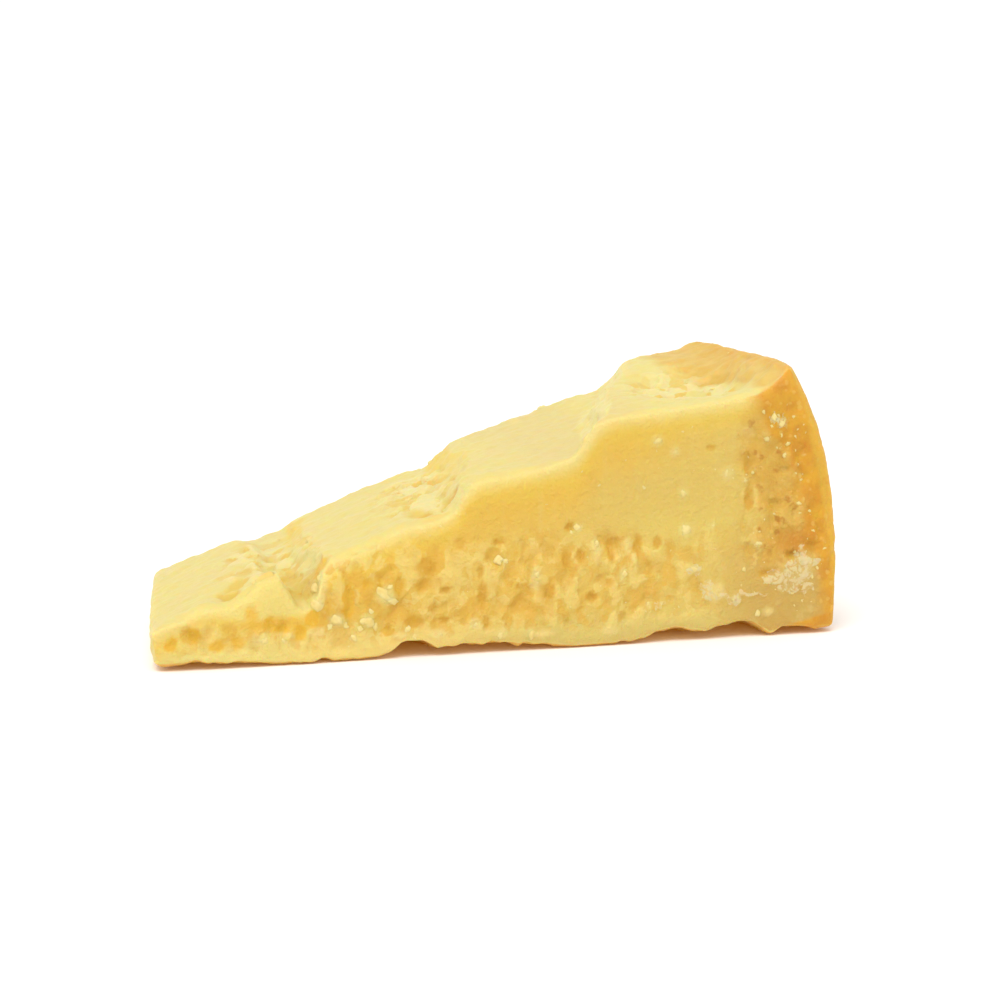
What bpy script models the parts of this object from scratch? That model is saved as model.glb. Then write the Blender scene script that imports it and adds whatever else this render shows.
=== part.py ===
"""Parmesan wedge: a short full-radius sector, split off a slab cut across a wheel of hard cheese.

The wheel's axis runs along Y, and stands TIP_BREAK beyond the broken tip. The wedge lies on one
of its two split faces. The front and rear faces are the slab's two knife cuts, the right-hand end
is the wheel's outer rind, and the top is the rough split face, broken in terraces that climb
from the tip to the rind. The origin is the middle of the underside.
"""

import math

import bmesh
import bpy
from mathutils import Vector

# Driving dimensions, in metres.
MM = 0.001
WHEEL_RADIUS = 220 * MM
SECTOR_ANGLE = math.radians(20.6)
SLAB_DEPTH = 82 * MM
TIP_BREAK = 26 * MM
LENGTH = WHEEL_RADIUS - TIP_BREAK
AXIS_X = -(WHEEL_RADIUS + TIP_BREAK) / 2

# The plain block that is bent into the wedge. Its rounded edges keep their size when it is bent.
BLOCK_HEIGHT = 76 * MM
EDGE_ROUND = 4.6 * MM
EDGE_SEGMENTS = 3
THIN_END_SHARE = 0.42

# How round the edges are, as a share of EDGE_ROUND. The crest is the top's long edge.
CREST_ROUND = 1.15
CREST_START = -80 * MM
LIP_ROUND = 0.6
LIP_START = 24 * MM
FOOT_ROUND = 0.5
TIP_CREST_ROUND = 0.4
TIP_FOOT_ROUND = 1.1
ROUND_CHANGE = 16 * MM

# Cells between the block's rounded edges: along the wedge in stretches, then across and up.
STRETCHES = (
    (-76 * MM, 4),
    (-44 * MM, 13),
    (-10 * MM, 8),
    (6 * MM, 5),
    (34 * MM, 7),
    (54 * MM, 6),
    (LENGTH / 2 - EDGE_ROUND, 9),
)
CELLS_ACROSS = 18
CELLS_UP = 8

# The terraces' breaks run askew: further back they lie nearer to the rind.
SKEW = 18.5 * MM
SKEW_CENTRE = 47 * MM
SKEW_REACH = 47 * MM
SKEW_FADE_SHARE = 0.6

# Rind and tip.
RIND_REACH = 32 * MM
RIND_BULGE = 1.2 * MM
RIND_SKEW = 2.4 * MM
RIND_CORNER = 0.8 * MM
RIND_CORNER_SIDE_SHARE = 0.5
RIND_CORNER_UP_SHARE = 0.7
RIND_BELLY = 2.4 * MM
RIND_BELLY_HEIGHT = 50 * MM
RIND_BELLY_REACH = 24 * MM
RIND_FOOT = 1.6 * MM
RIND_FOOT_HEIGHT = 22 * MM
TIP_LEAN = 11 * MM
TIP_REACH = 45 * MM
TIP_EDGE_REACH = LENGTH / 4
TIP_PLUMB_REACH = LENGTH / 2

# Knife-cut faces: how far they sink above the rough lower half, and their slow waves.
FACE_HOLLOW = 1.3 * MM
FACE_WAVE = 0.45 * MM
FACE_WAVE_SPREAD_X = 19 * MM
FACE_WAVE_SPREAD_Z = 13 * MM
FACE_BREAK_HEIGHT = 27 * MM
FACE_BREAK_WIDTH = 9 * MM

# Underside: flat within REST_HALF_WIDTH of the middle line, with scallops broken from its rims.
REST_HALF_WIDTH = 26 * MM
RIM_FADE = 11 * MM


def smooth(edge_low, edge_high, value):
    """0 below edge_low, 1 above edge_high, and an S-curve between them."""
    share = min(max((value - edge_low) / (edge_high - edge_low), 0.0), 1.0)
    return share * share * (3 - 2 * share)


def mix(low, high, share):
    return low + (high - low) * share


def hump(distance, reach):
    """A round hump, 1 in its middle and nearly 0 at twice its reach."""
    return math.exp(-((distance / reach) ** 2))


class Terrace:
    """One terrace of the split top, from the break where it starts, at the front and at the rear.

    x is the place of the break, height its offset there from the plane of the split, and fall
    how far it drops back from that plane for each metre towards the rind. Between the two faces
    the break wanders off its straight line by up to wander, in as many half waves as bends.
    """

    def __init__(self, ramp, x, height, fall=(0.0, 0.0), wander=0.0, bends=1):
        self.ramp = ramp
        self.x = x
        self.height = height
        self.fall = fall
        self.wander = wander
        self.bends = bends

    def start(self, share_back):
        return mix(*self.x, share_back) + self.wander * math.sin(self.bends * math.pi * share_back)

    def offset(self, x, share_back):
        run = max(x - self.start(share_back), 0.0)
        return mix(*self.height, share_back) - run * mix(*self.fall, share_back)

    def reached(self, x, share_back):
        past = (x - self.start(share_back)) / self.ramp
        return smooth(-0.5, 0.5, past)


TIP_TERRACE = Terrace(1 * MM, (-97 * MM, -86 * MM), (1.9 * MM, -0.6 * MM))
TERRACES = (
    TIP_TERRACE,
    Terrace(4 * MM, (-60.0 * MM, -61.0 * MM), (-4.6 * MM, -2.9 * MM), wander=-2.2 * MM, bends=2),
    Terrace(
        3.5 * MM, (-53.0 * MM, -47.5 * MM), (0.6 * MM, -1.6 * MM), (0.025, -0.02), 1.6 * MM, 3
    ),
    Terrace(
        8 * MM, (-12.6 * MM, -1.0 * MM), (6.3 * MM, 2.1 * MM), (0.235, 0.045), -2.4 * MM, 3
    ),
    Terrace(
        10 * MM, (19.0 * MM, 55.0 * MM), (8.3 * MM, 4.6 * MM), (0.27, 0.19), 2.0 * MM, 3
    ),
    Terrace(12 * MM, (77 * MM, 77 * MM), (0.4 * MM, 1.2 * MM), wander=-3 * MM, bends=2),
)


class Mark:
    """A round rise or hollow of the split top, by its place on the wedge."""

    def __init__(self, x, y, reach_x, reach_y, height):
        self.x = x
        self.y = y
        self.reach_x = reach_x
        self.reach_y = reach_y
        self.height = height

    def offset(self, x, y):
        return self.height * hump(x - self.x, self.reach_x) * hump(y - self.y, self.reach_y)


TOP_MARKS = (
    Mark(-83 * MM, -38 * MM, 3.0 * MM, 6 * MM, 1.3 * MM),
    Mark(-75 * MM, -33 * MM, 3.5 * MM, 8 * MM, -2.0 * MM),
    Mark(-65 * MM, -37 * MM, 4.8 * MM, 7 * MM, 2.2 * MM),
    Mark(-55.8 * MM, -41 * MM, 2.6 * MM, 13 * MM, -5.2 * MM),
    Mark(-31 * MM, -38 * MM, 4 * MM, 9 * MM, 1.3 * MM),
    Mark(-17 * MM, -27 * MM, 4 * MM, 8 * MM, -1.4 * MM),
    Mark(-6 * MM, 38 * MM, 4.5 * MM, 14 * MM, -2.2 * MM),
    Mark(48 * MM, 36 * MM, 4.5 * MM, 9 * MM, -1.3 * MM),
    Mark(61 * MM, -12 * MM, 12 * MM, 15 * MM, -3.0 * MM),
    Mark(-34 * MM, 4 * MM, 9 * MM, 16 * MM, 0.8 * MM),
    Mark(24 * MM, 2 * MM, 12 * MM, 14 * MM, -0.9 * MM),
)


class Scallop:
    """A bite out of the underside's rim: its middle along the wedge, half width and rise."""

    def __init__(self, x, reach, rise):
        self.x = x
        self.reach = reach
        self.rise = rise

    def lift(self, x):
        return self.rise * hump(x - self.x, self.reach)


FRONT_SCALLOPS = (
    Scallop(-88 * MM, 5 * MM, 0.8 * MM),
    Scallop(-27 * MM, 6 * MM, 3.2 * MM),
    Scallop(-10 * MM, 4.5 * MM, 1.6 * MM),
    Scallop(0 * MM, 4 * MM, 1.1 * MM),
    Scallop(46 * MM, 8 * MM, 3.3 * MM),
    Scallop(66 * MM, 4.5 * MM, 1.9 * MM),
    Scallop(89 * MM, 5 * MM, 0.9 * MM),
)
REAR_SCALLOPS = (
    Scallop(-70 * MM, 8 * MM, 1.8 * MM),
    Scallop(-34 * MM, 6 * MM, 1.1 * MM),
    Scallop(-6 * MM, 9 * MM, 2.9 * MM),
    Scallop(28 * MM, 5 * MM, 1.3 * MM),
    Scallop(58 * MM, 7 * MM, 2.4 * MM),
)


def skew_at(along):
    """How far a break moves towards the rind at the rear, and towards the tip at the front."""
    fade = 1 - smooth(SKEW_FADE_SHARE * LENGTH / 2, LENGTH / 2, along)
    return SKEW * hump(along - SKEW_CENTRE, SKEW_REACH) * fade


def top_offset(x, y):
    """The split top's height over the plane of the split."""
    share_back = y / SLAB_DEPTH + 0.5
    height = TIP_TERRACE.offset(x, share_back)
    for terrace in TERRACES[1:]:
        height = mix(height, terrace.offset(x, share_back), terrace.reached(x, share_back))
    return height + sum(mark.offset(x, y) for mark in TOP_MARKS)


def underside_lift(x, y):
    """The underside's height: none over the flat it rests on, more towards a scalloped rim."""
    rim = smooth(REST_HALF_WIDTH, REST_HALF_WIDTH + RIM_FADE, abs(y))
    scallops = FRONT_SCALLOPS if y < 0 else REAR_SCALLOPS
    return rim * sum(scallop.lift(x) for scallop in scallops)


def face_sink(x, z, side):
    """How far a knife-cut face lies inside the slab's full depth. side is -1 front, 1 rear."""
    above = smooth(-FACE_BREAK_WIDTH, FACE_BREAK_WIDTH, z - FACE_BREAK_HEIGHT)
    wave = math.sin(x / FACE_WAVE_SPREAD_X + side)
    wave *= math.sin(z / FACE_WAVE_SPREAD_Z + 2 * side)
    return FACE_HOLLOW * above + FACE_WAVE * (1 + wave) * above


def crest_round(along):
    past_tip = smooth(CREST_START - ROUND_CHANGE, CREST_START, along)
    past_lip = smooth(LIP_START, LIP_START + ROUND_CHANGE, along)
    return mix(mix(TIP_CREST_ROUND, CREST_ROUND, past_tip), LIP_ROUND, past_lip)


def foot_round(along):
    return mix(TIP_FOOT_ROUND, FOOT_ROUND, smooth(-LENGTH / 2, CREST_START, along))


def height_above_split(block_z, arc, along):
    """A block height carried to the wedge: rounded edges keep their size, the rest stretches."""
    foot = min(EDGE_ROUND * foot_round(along), THIN_END_SHARE * arc)
    crest = min(EDGE_ROUND * crest_round(along), THIN_END_SHARE * arc)
    if block_z < EDGE_ROUND:
        return foot * block_z / EDGE_ROUND
    if block_z > BLOCK_HEIGHT - EDGE_ROUND:
        return arc - crest * (BLOCK_HEIGHT - block_z) / EDGE_ROUND
    middle = (block_z - EDGE_ROUND) / (BLOCK_HEIGHT - 2 * EDGE_ROUND)
    return mix(foot, arc - crest, middle)


def edge_inset(inset, along, share_up):
    """A distance in from an end or a side, where its edge is made as round as it should be."""
    roundness = mix(foot_round(along), crest_round(along), share_up)
    return inset * mix(roundness, 1, smooth(EDGE_ROUND, 3 * EDGE_ROUND, inset))


def rind_shift(side_share, share_up, z):
    """How far the rind stands out from the plain arc about the wheel's axis."""
    belly = RIND_BELLY * hump(z - RIND_BELLY_HEIGHT, RIND_BELLY_REACH)
    foot = RIND_FOOT * (1 - smooth(0, RIND_FOOT_HEIGHT, z))
    corner = smooth(RIND_CORNER_SIDE_SHARE, 1, abs(side_share))
    corner *= RIND_CORNER * smooth(RIND_CORNER_UP_SHARE, 1, share_up)
    bulge = RIND_BULGE * side_share**2
    return belly - foot - corner - bulge + RIND_SKEW * side_share * share_up


def bend_to_wedge(point):
    """Carries one point of the plain block to its place on the wedge."""
    share_up = point.z / BLOCK_HEIGHT
    tip_x = edge_inset(point.x + LENGTH / 2, point.x, share_up) - LENGTH / 2
    along = mix(tip_x, point.x, smooth(-LENGTH / 2, -LENGTH / 2 + TIP_EDGE_REACH, point.x))
    y = edge_inset(SLAB_DEPTH / 2 - abs(point.y), along, share_up)
    y = math.copysign(SLAB_DEPTH / 2 - y, point.y)
    side_share = y / (SLAB_DEPTH / 2)

    lean = TIP_LEAN * (side_share + 1) / 2
    lean *= 1 - smooth(-LENGTH / 2, -LENGTH / 2 + TIP_REACH, along)
    radius = along - AXIS_X + lean + skew_at(along) * side_share
    arc = radius * SECTOR_ANGLE
    height = height_above_split(point.z, arc, along)
    share_up = height / arc
    angle = height / radius
    past_tip = smooth(-LENGTH / 2, -LENGTH / 2 + TIP_PLUMB_REACH, along)
    tip_plumb = mix(1 / math.cos(angle), 1, past_tip)
    x = AXIS_X + radius * math.cos(angle) * tip_plumb
    z = radius * math.sin(angle) * tip_plumb

    rind_share = smooth(LENGTH / 2 - RIND_REACH, LENGTH / 2, along)
    x += rind_share * rind_shift(side_share, share_up, z)
    z += share_up * top_offset(x, y)
    z += (1 - share_up) * underside_lift(x, y)
    y -= side_share * face_sink(x, z, math.copysign(1, y))
    return Vector((x, y, z))


def cut_block(shape, axis, position):
    """Scores the block's surface all round with one plane, so that it can bend there."""
    normal = Vector([1.0 if index == axis else 0.0 for index in range(3)])
    geometry = shape.verts[:] + shape.edges[:] + shape.faces[:]
    bmesh.ops.bisect_plane(shape, geom=geometry, plane_co=normal * position, plane_no=normal)


def evenly(low, high, cells):
    """The places of the cuts that part a stretch into cells, without its two ends."""
    return [mix(low, high, index / cells) for index in range(1, cells)]


def plain_block():
    """The block: rounded edges, scored into cells along, across and up."""
    shape = bmesh.new()
    bmesh.ops.create_cube(shape, size=1)
    bmesh.ops.scale(shape, verts=shape.verts, vec=(LENGTH, SLAB_DEPTH, BLOCK_HEIGHT))
    bmesh.ops.translate(shape, verts=shape.verts, vec=(0, 0, BLOCK_HEIGHT / 2))
    bmesh.ops.bevel(
        shape,
        geom=shape.edges[:],
        offset=EDGE_ROUND,
        segments=EDGE_SEGMENTS,
        profile=0.5,
        affect="EDGES",
    )
    low = -LENGTH / 2 + EDGE_ROUND
    for high, cells in STRETCHES:
        for position in evenly(low, high, cells):
            cut_block(shape, 0, position)
        if high < LENGTH / 2 - EDGE_ROUND:
            cut_block(shape, 0, high)
        low = high
    half_depth = SLAB_DEPTH / 2 - EDGE_ROUND
    for position in evenly(-half_depth, half_depth, CELLS_ACROSS):
        cut_block(shape, 1, position)
    for position in evenly(EDGE_ROUND, BLOCK_HEIGHT - EDGE_ROUND, CELLS_UP):
        cut_block(shape, 2, position)
    return shape


def cheese_material():
    material = bpy.data.materials.new("cheese")
    material.use_nodes = True
    shader = material.node_tree.nodes["Principled BSDF"]
    shader.inputs["Base Color"].default_value = (0.80, 0.56, 0.16, 1)
    shader.inputs["Roughness"].default_value = 0.6
    shader.inputs["Metallic"].default_value = 0.0
    return material


def build_wedge(collection):
    shape = plain_block()
    for vertex in shape.verts:
        vertex.co = bend_to_wedge(vertex.co)
    bmesh.ops.triangulate(shape, faces=shape.faces[:])
    bmesh.ops.recalc_face_normals(shape, faces=shape.faces[:])
    mesh = bpy.data.meshes.new("parmesan_wedge")
    shape.to_mesh(mesh)
    shape.free()
    mesh.shade_smooth()
    mesh.materials.append(cheese_material())
    collection.objects.link(bpy.data.objects.new("parmesan_wedge", mesh))


for leftover in list(bpy.data.objects):
    bpy.data.objects.remove(leftover)
wedge_collection = bpy.data.collections.new("parmesan_wedge")
bpy.context.scene.collection.children.link(wedge_collection)
build_wedge(wedge_collection)
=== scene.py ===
import math
import random

import bpy
from mathutils import Matrix, Vector


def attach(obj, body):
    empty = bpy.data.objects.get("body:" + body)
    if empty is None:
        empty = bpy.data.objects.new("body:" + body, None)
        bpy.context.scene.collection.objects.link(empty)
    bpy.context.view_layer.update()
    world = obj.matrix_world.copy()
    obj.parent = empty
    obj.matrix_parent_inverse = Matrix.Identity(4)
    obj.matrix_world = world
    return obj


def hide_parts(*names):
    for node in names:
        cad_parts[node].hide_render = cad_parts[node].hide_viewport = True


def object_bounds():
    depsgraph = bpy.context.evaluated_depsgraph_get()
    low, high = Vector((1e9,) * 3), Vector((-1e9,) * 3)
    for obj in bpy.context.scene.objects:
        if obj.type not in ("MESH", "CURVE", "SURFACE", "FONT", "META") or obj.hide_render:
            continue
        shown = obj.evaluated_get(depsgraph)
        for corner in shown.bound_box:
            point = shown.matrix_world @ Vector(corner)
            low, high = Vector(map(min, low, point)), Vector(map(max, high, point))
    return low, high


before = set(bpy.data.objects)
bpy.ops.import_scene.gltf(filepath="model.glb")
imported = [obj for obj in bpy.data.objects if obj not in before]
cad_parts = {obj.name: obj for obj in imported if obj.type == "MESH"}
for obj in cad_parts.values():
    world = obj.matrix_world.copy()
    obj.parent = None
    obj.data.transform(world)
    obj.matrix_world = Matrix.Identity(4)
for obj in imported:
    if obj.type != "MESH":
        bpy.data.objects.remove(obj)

cad_low, cad_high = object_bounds()

# ---------------------------------------------------------------------------------------------
# The table and its light: a white card that runs out of sight inside a white tent, and one very
# wide soft box above, a little to the left and in front, which models the breaks and pits. A
# painted warm glow on the card under the wedge stands in for the light that comes down through
# the cheese.
# ---------------------------------------------------------------------------------------------

bpy.context.scene.view_settings.view_transform = "Standard"

# What spreads plain noise to about -1 to 1, how far apart two patterns with different seeds are
# taken from the same noise, and where an oval spot ends, as a share of its half sizes.
NOISE_SPREAD = 2.8
SEED_STEPS = (13.7, 7.3, 29.1)
OVAL_RIM = 1.05


class Wire:
    """A value in a node tree: arithmetic on it adds Math nodes, node() adds any other node."""

    def __init__(self, socket):
        self.socket = socket

    def node(self, kind, settings=None, inputs=None, output=0):
        tree = self.socket.id_data
        made = tree.nodes.new(kind)
        for name, value in (settings or {}).items():
            setattr(made, name, value)
        for key, value in (inputs or {}).items():
            if isinstance(value, Wire):
                tree.links.new(value.socket, made.inputs[key])
            else:
                made.inputs[key].default_value = value
        return Wire(made.outputs[output])

    def into(self, socket):
        """Links this value to a socket that is already there."""
        self.socket.id_data.links.new(self.socket, socket)

    def math(self, operation, *operands):
        return self.node("ShaderNodeMath", {"operation": operation}, dict(enumerate(operands)))

    def __add__(self, other):
        return self.math("ADD", self, other)

    def __sub__(self, other):
        return self.math("SUBTRACT", self, other)

    def __rsub__(self, other):
        return self.math("SUBTRACT", other, self)

    def __mul__(self, other):
        return self.math("MULTIPLY", self, other)

    def __neg__(self):
        return self.math("MULTIPLY", self, -1.0)

    def __abs__(self):
        return self.math("ABSOLUTE", self)

    def __pow__(self, other):
        return self.math("POWER", self, other)

    __radd__ = __add__
    __rmul__ = __mul__

    def rise(self, low, high):
        """0 at low, 1 at high, with an S-curve between; low may be the greater."""
        inputs = {"Value": self, "From Min": low, "From Max": high}
        return self.node("ShaderNodeMapRange", {"interpolation_type": "SMOOTHSTEP"}, inputs)

    def most(self, other):
        return self.math("MAXIMUM", self, other)

    def least(self, other):
        return self.math("MINIMUM", self, other)

    def vector(self, operation, other=None):
        inputs = {0: self} if other is None else {0: self, 1: other}
        output = "Value" if operation == "LENGTH" else "Vector"
        return self.node("ShaderNodeVectorMath", {"operation": operation}, inputs, output)

    def scaled(self, factor):
        inputs = {0: self, "Scale": factor}
        return self.node("ShaderNodeVectorMath", {"operation": "SCALE"}, inputs)

    def axis(self, index):
        return self.node("ShaderNodeSeparateXYZ", {}, {0: self}, output=index)

    def moved(self, seed):
        """The same place in another stretch of a pattern, so that two patterns don't agree."""
        return self.vector("ADD", tuple(seed * step for step in SEED_STEPS))

    def noise(self, size, detail=2.0, seed=0.0):
        """Soft noise of lumps about size across, from about -1 to 1."""
        inputs = {"Vector": self.moved(seed), "Scale": 1 / size, "Detail": detail}
        return (self.node("ShaderNodeTexNoise", {}, inputs) - 0.5) * NOISE_SPREAD

    def wobbled(self, size, reach, seed=0.0):
        """The place shifted at random by about reach, over lumps about size across."""
        inputs = {"Vector": self.moved(seed), "Scale": 1 / size, "Detail": 2.0}
        soft = self.node("ShaderNodeTexNoise", {}, inputs, "Color")
        shift = soft.vector("SUBTRACT", (0.5, 0.5, 0.5)).scaled(NOISE_SPREAD * reach)
        return self.vector("ADD", shift)

    def cells(self, size, seed=0.0, feature="F1", output="Distance", blur=None):
        """The distance from the nearest of many cells about size across, or another output."""
        inputs = {"Vector": self.moved(seed), "Scale": 1 / size}
        if blur is not None:
            inputs["Smoothness"] = blur
        return self.node("ShaderNodeTexVoronoi", {"feature": feature}, inputs, output)

    def spot_at(self, middle, half_sizes, full=0.45):
        """1 in the middle of an oval spot, out to the share full of its size, and 0 outside it."""
        away = self.vector("SUBTRACT", middle).vector("DIVIDE", half_sizes).vector("LENGTH")
        return away.rise(OVAL_RIM, full)


def blend(share, low, high):
    """The colour low where share is 0, the colour high where it is 1, mixed in between."""
    inputs = {0: share, 6: low, 7: high}
    return share.node("ShaderNodeMix", {"data_type": "RGBA"}, inputs, 2)


def new_finish(name, even_values):
    """A material, its shader with the values that are the same all over, and the place on it."""
    finish = bpy.data.materials.new(name)
    finish.use_nodes = True
    nodes = finish.node_tree.nodes
    shader = nodes["Principled BSDF"]
    for socket_name, value in even_values.items():
        shader.inputs[socket_name].default_value = value
    return finish, shader, Wire(nodes.new("ShaderNodeTexCoord").outputs["Object"])


# The card in metres, and the painted warm glow that it gives off under the wedge: its colour,
# and the width of its fading edge to each side of the wedge's outline.
CARD_SIZE = 400.0
CARD_LOOK = {
    "Base Color": (0.94, 0.94, 0.94, 1),
    "Roughness": 1.0,
    "Specular IOR Level": 0.0,
    "Emission Strength": 1.0,
}
NO_GLOW = (0, 0, 0, 1)
PAINTED_WARM_GLOW = (0.11, 0.042, 0.002, 1)
GLOW_EDGE = 0.003

bpy.ops.object.select_all(action="DESELECT")
bpy.ops.mesh.primitive_plane_add(size=CARD_SIZE)
card = bpy.context.object
card.name = "white_card"
card_finish, card_shader, card_place = new_finish("white_card", CARD_LOOK)
# Painted glow: the card shines warm where the wedge covers it, in place of light through the
# cheese.
glow_under_wedge = abs(card_place.axis(0)).rise(cad_high.x + GLOW_EDGE, cad_high.x - GLOW_EDGE)
glow_under_wedge = glow_under_wedge * abs(card_place.axis(1)).rise(cad_high.y + GLOW_EDGE, cad_high.y - GLOW_EDGE)
blend(glow_under_wedge, NO_GLOW, PAINTED_WARM_GLOW).into(card_shader.inputs["Emission Color"])
card.data.materials.append(card_finish)

# The tent is brighter near the table than overhead: its two strengths, and the heights, from 0
# at the table to 1 straight above, between which the one turns into the other.
TENT_WHITE = (1, 1, 1, 1)
TENT_STRENGTHS = (1.05, 0.75)
TENT_CHANGE = (0.20, 0.50)

tent = bpy.data.worlds.new("white_tent")
tent.use_nodes = True
cloth = tent.node_tree.nodes
height = Wire(cloth.new("ShaderNodeTexCoord").outputs["Generated"]).axis(2)
strength_inputs = {
    "Value": height,
    "From Min": TENT_CHANGE[0],
    "From Max": TENT_CHANGE[1],
    "To Min": TENT_STRENGTHS[0],
    "To Max": TENT_STRENGTHS[1],
}
strength = height.node("ShaderNodeMapRange", {"interpolation_type": "SMOOTHSTEP"}, strength_inputs)
strength.into(cloth["Background"].inputs["Strength"])
cloth["Background"].inputs["Color"].default_value = TENT_WHITE
bpy.context.scene.world = tent

# The soft box's strength, how wide it looks from the table, and the way its light goes.
SOFT_BOX_STRENGTH = 1.8
SOFT_BOX_WIDTH = math.radians(36)
SOFT_BOX_AIM = Vector((0.26, 0.52, -1.0))

box_light = bpy.data.lights.new("soft_box", "SUN")
box_light.energy = SOFT_BOX_STRENGTH
box_light.angle = SOFT_BOX_WIDTH
soft_box = bpy.data.objects.new("soft_box", box_light)
soft_box.rotation_euler = SOFT_BOX_AIM.to_track_quat("-Z", "Y").to_euler()
bpy.context.scene.collection.objects.link(soft_box)

# ---------------------------------------------------------------------------------------------
# The camera: a long lens, a little above the table in front of the cut face, and turned towards
# the broken tip. The distance and the aim are in metres, the lens and its film in millimetres.
# ---------------------------------------------------------------------------------------------

CAMERA_TURN = math.radians(-16.2)
CAMERA_TILT = math.radians(8.07)
CAMERA_DISTANCE = 0.5913
CAMERA_AIM = Vector((0.008, 0, 0.0351))
LENS_LENGTH = 75.2
FILM_WIDTH = 36
NEAREST_SEEN = 0.01

back = Vector((
    math.sin(CAMERA_TURN) * math.cos(CAMERA_TILT),
    -math.cos(CAMERA_TURN) * math.cos(CAMERA_TILT),
    math.sin(CAMERA_TILT),
))
camera = bpy.data.objects.new("camera", bpy.data.cameras.new("camera"))
camera.data.lens = LENS_LENGTH
camera.data.sensor_width = FILM_WIDTH
camera.data.clip_start = NEAREST_SEEN
camera.location = CAMERA_AIM + back * CAMERA_DISTANCE
camera.rotation_euler = (-back).to_track_quat("-Z", "Y").to_euler()
bpy.context.scene.collection.objects.link(camera)
bpy.context.scene.camera = camera

# ---------------------------------------------------------------------------------------------
# The paste: the whole wedge, rind included, is one body of pressed and aged curd. Where it is
# split it breaks into soft grains and flakes, where it is cut it is smoother with torn pits,
# and towards the rind it is darker and waxy.
# ---------------------------------------------------------------------------------------------

# The size of the even mesh's squares, in metres. All other sizes and places of this section are
# in millimetres, from the middle of the foot: x towards the rind, y to the rear, z up.
MESH_SPACING = 0.00081
MILLIMETRE = 0.001
PER_METRE = 1000.0

# The wheel that the wedge was split from: its axis and its radius.
WHEEL_AXIS_X = -123.0
WHEEL_RADIUS = 220.0

# The plane that the marks of the front cut lie in, and how far they reach into the cheese.
FRONT_MARK_Y = -40.5
FRONT_MARK_REACH = 12.0

# Torn pits in the front cut: middle x and z, half width, half height, depth.
FRONT_PITS = (
    (-90.5, 7.2, 1.7, 2.0, 1.6),
    (-84.6, 9.2, 1.6, 2.0, 1.5),
    (-79.0, 6.0, 2.3, 2.0, 1.3),
    (-73.6, 6.4, 2.2, 1.8, 0.8),
    (-70.0, 14.0, 1.8, 2.4, 0.9),
    (-65.4, 11.6, 1.4, 1.9, 1.1),
    (-62.0, 9.4, 2.6, 1.0, 1.0),
    (-57.4, 8.6, 1.5, 2.2, 2.0),
    (-54.2, 12.3, 1.6, 2.0, 2.0),
    (-44.4, 16.2, 1.3, 4.2, 1.5),
    (-40.0, 20.4, 0.8, 1.4, 0.8),
    (-36.2, 20.4, 0.7, 1.6, 0.7),
    (-31.2, 19.6, 1.0, 3.0, 0.9),
    (-34.0, 7.6, 2.0, 1.0, 1.4),
    (-23.6, 24.2, 2.9, 2.4, 1.0),
    (-24.6, 19.4, 2.6, 2.4, 0.8),
    (-18.6, 18.0, 1.4, 1.2, 1.1),
    (-26.8, 9.6, 2.6, 1.6, 1.3),
    (-18.6, 9.8, 1.9, 1.0, 1.0),
    (-22.0, 13.2, 1.6, 1.0, 0.8),
    (-14.2, 30.0, 1.8, 1.4, 0.6),
    (-3.8, 29.9, 1.6, 0.8, 1.2),
    (-9.2, 22.0, 0.9, 1.8, 0.9),
    (-8.4, 15.6, 1.2, 4.0, 1.0),
    (-7.4, 8.4, 1.1, 2.2, 1.0),
    (10.2, 16.4, 1.4, 3.2, 1.1),
    (1.4, 17.6, 0.8, 0.9, 1.0),
    (15.9, 32.9, 1.4, 1.3, 1.3),
    (14.6, 23.8, 1.2, 2.4, 1.1),
    (18.6, 25.0, 1.8, 1.8, 1.0),
    (27.4, 26.0, 1.2, 3.4, 1.2),
    (21.8, 13.6, 1.4, 1.6, 1.7),
    (27.0, 17.4, 1.4, 1.4, 0.9),
    (35.4, 27.0, 1.0, 3.2, 0.9),
    (40.8, 27.8, 1.4, 1.5, 1.0),
    (44.0, 25.4, 0.9, 2.8, 0.7),
    (38.4, 21.2, 1.1, 2.4, 0.8),
    (56.6, 52.8, 1.8, 0.8, 0.8),
    (67.2, 48.6, 1.3, 3.4, 1.3),
    (67.6, 38.6, 1.2, 3.8, 1.2),
    (75.4, 37.0, 1.5, 1.2, 1.1),
    (78.2, 46.2, 1.9, 1.0, 1.2),
    (76.4, 60.8, 1.4, 1.1, 1.2),
    (80.2, 22.6, 2.4, 1.1, 1.6),
    (73.2, 18.0, 2.8, 1.1, 1.3),
    (86.6, 24.6, 2.6, 1.6, 1.0),
)

# Pale knots of curd in the front cut: middle x and z, half width, half height.
FRONT_KNOTS = (
    (-68.0, 7.8, 2.4, 2.6),
    (-60.6, 7.8, 1.8, 1.0),
    (-47.4, 11.0, 2.6, 2.0),
    (-53.0, 8.4, 3.2, 1.6),
    (-52.8, 18.6, 1.8, 4.2),
    (-39.6, 10.6, 2.0, 2.2),
    (-34.8, 17.0, 3.0, 3.0),
    (-30.6, 6.2, 2.4, 1.4),
    (-20.6, 6.0, 2.8, 1.4),
    (-10.4, 8.2, 2.6, 2.0),
    (-3.6, 4.8, 2.4, 2.2),
    (8.0, 4.2, 3.6, 1.5),
    (6.4, 19.6, 1.7, 4.2),
    (23.2, 26.4, 1.5, 4.4),
    (32.6, 27.0, 1.6, 2.6),
    (30.6, 19.6, 1.2, 2.6),
    (34.2, 24.0, 1.2, 1.8),
    (27.2, 4.4, 2.6, 1.6),
    (18.4, 32.4, 1.0, 1.2),
    (48.8, 30.6, 2.1, 2.0),
    (67.4, 56.6, 2.4, 2.0),
    (57.4, 13.6, 3.4, 3.2),
    (73.0, 7.2, 1.8, 1.3),
    (51.0, 20.2, 1.8, 1.0),
)

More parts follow.
